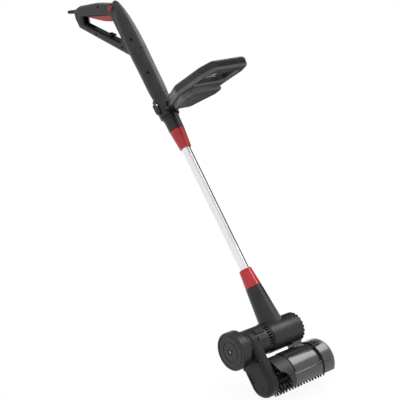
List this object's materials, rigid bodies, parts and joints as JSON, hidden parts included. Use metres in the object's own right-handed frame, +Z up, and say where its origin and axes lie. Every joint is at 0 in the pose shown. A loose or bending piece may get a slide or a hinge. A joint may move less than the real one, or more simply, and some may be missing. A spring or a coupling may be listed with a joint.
{
  "type": "electric patio cleaner",
  "caption": "Hand-held electric patio cleaner: motor head with a belt-driven bristle roller under a hood, on a telescopic aluminium pole with a D-handle and a tilting loop handle.",
  "frame": {"origin": "on the floor under the middle of the bristle roller", "axes": "X along the roller axis towards the hood's closed end, Y back towards the operator, Z up; the tool leans back at its working angle"},
  "size_m": [0.2429, 0.915, 0.8304],
  "materials": {
    "black_plastic": "fine grained moulding",
    "hood_plastic": "polished moulding",
    "red_plastic": "satin moulding",
    "tube_aluminium": "bright drawn tube",
    "screw_steel": "zinc plated",
    "bearing_steel": "ground",
    "core_steel": "stacked sheet",
    "copper_winding": "enamelled wire",
    "inner_plastic": "plain moulding",
    "roller_plastic": "plain moulding",
    "bristle_nylon": "stiff filament",
    "black_rubber": "dull"
  },
  "bodies": {
    "handle": {"handle_left": "black_plastic", "handle_right": "black_plastic", "handle_screws": "screw_steel", "tube_guide_bush": "inner_plastic", "cable_gland": "black_rubber", "mains_switch": "inner_plastic", "capacitor": "inner_plastic", "lead_coil": "black_rubber", "trigger_pin": "screw_steel", "trigger_spring": "bearing_steel", "button_spring": "bearing_steel", "clamp_front": "black_plastic", "clamp_rear": "black_plastic", "clamp_screws": "screw_steel", "loop_pin": "screw_steel"},
    "head": {"housing_front": "black_plastic", "housing_rear": "black_plastic", "housing_screws": "screw_steel", "motor_end_cap": "black_plastic", "field_core": "core_steel", "field_coils": "copper_winding", "carbon_brushes": "inner_plastic", "motor_bearings": "bearing_steel", "belt_case": "black_plastic", "belt_cover": "black_plastic", "arm_screws": "screw_steel", "round_cover": "black_plastic", "cover_screw": "screw_steel", "drive_belt": "black_rubber", "spindle_bearings": "bearing_steel", "hood": "hood_plastic", "hood_screws": "screw_steel", "aluminium_tube": "tube_aluminium", "tube_end_plug": "inner_plastic", "inner_lead": "black_rubber", "terminal_block": "inner_plastic"},
    "rotor": {"armature_shaft": "bearing_steel", "armature_core": "core_steel", "armature_windings": "copper_winding", "commutator": "copper_winding", "cooling_fan": "inner_plastic", "drive_pulley": "inner_plastic"},
    "roller": {"brush_spindle": "bearing_steel", "driven_pulley": "inner_plastic", "roller_core": "roller_plastic", "roller_bristles": "bristle_nylon", "roller_end_screw": "screw_steel"},
    "lower_sleeve": {"lower_sleeve": "red_plastic"},
    "upper_sleeve": {"upper_sleeve": "red_plastic"},
    "trigger": {"trigger": "red_plastic"},
    "lock_button": {"lock_button": "red_plastic"},
    "loop": {"loop_upper": "black_plastic", "loop_lower": "black_plastic", "loop_screws": "screw_steel"}
  },
  "joints": [
    {"name": "tube_slide", "type": "slide", "parent": "handle", "child": "head", "axis": [0, -0.6428, -0.766], "range_m": [-0.13, 0.03], "deforming": ["lead_coil"]},
    {"name": "roller_spin", "type": "hinge", "parent": "head", "child": "roller", "pos_m": [0, 0, 0.0415], "axis": [1, 0, 0], "continuous": true},
    {"name": "rotor_spin", "type": "hinge", "parent": "head", "child": "rotor", "pos_m": [0, 0.05881, 0.11159], "axis": [1, 0, 0], "continuous": true},
    {"name": "lower_sleeve_turn", "type": "hinge", "parent": "head", "child": "lower_sleeve", "pos_m": [0, 0.15234, 0.22306], "axis": [0, 0.6428, 0.766], "range_deg": [0, 90]},
    {"name": "upper_sleeve_turn", "type": "hinge", "parent": "handle", "child": "upper_sleeve", "pos_m": [0, 0.3986, 0.51653], "axis": [0, 0.6428, 0.766], "range_deg": [0, 90]},
    {"name": "trigger_pull", "type": "hinge", "parent": "handle", "child": "trigger", "pos_m": [0, 0.79048, 0.78171], "axis": [-1, 0, 0], "range_deg": [0, 5], "stiffness_Nm_per_rad": 0.8, "springref_deg": -8.59, "deforming": ["trigger_spring"]},
    {"name": "lock_button_press", "type": "slide", "parent": "handle", "child": "lock_button", "axis": [1, 0, 0], "range_m": [0, 0.003], "stiffness_N_per_m": 400, "springref_m": -0.002, "deforming": ["button_spring"]},
    {"name": "loop_tilt", "type": "hinge", "parent": "handle", "child": "loop", "pos_m": [0, 0.42821, 0.60316], "axis": [-1, 0, 0], "range_deg": [-20, 45]}
  ],
  "couplings": [
    {"joint": "rotor_spin", "follows": "roller_spin", "ratio": 2.7391}
  ]
}
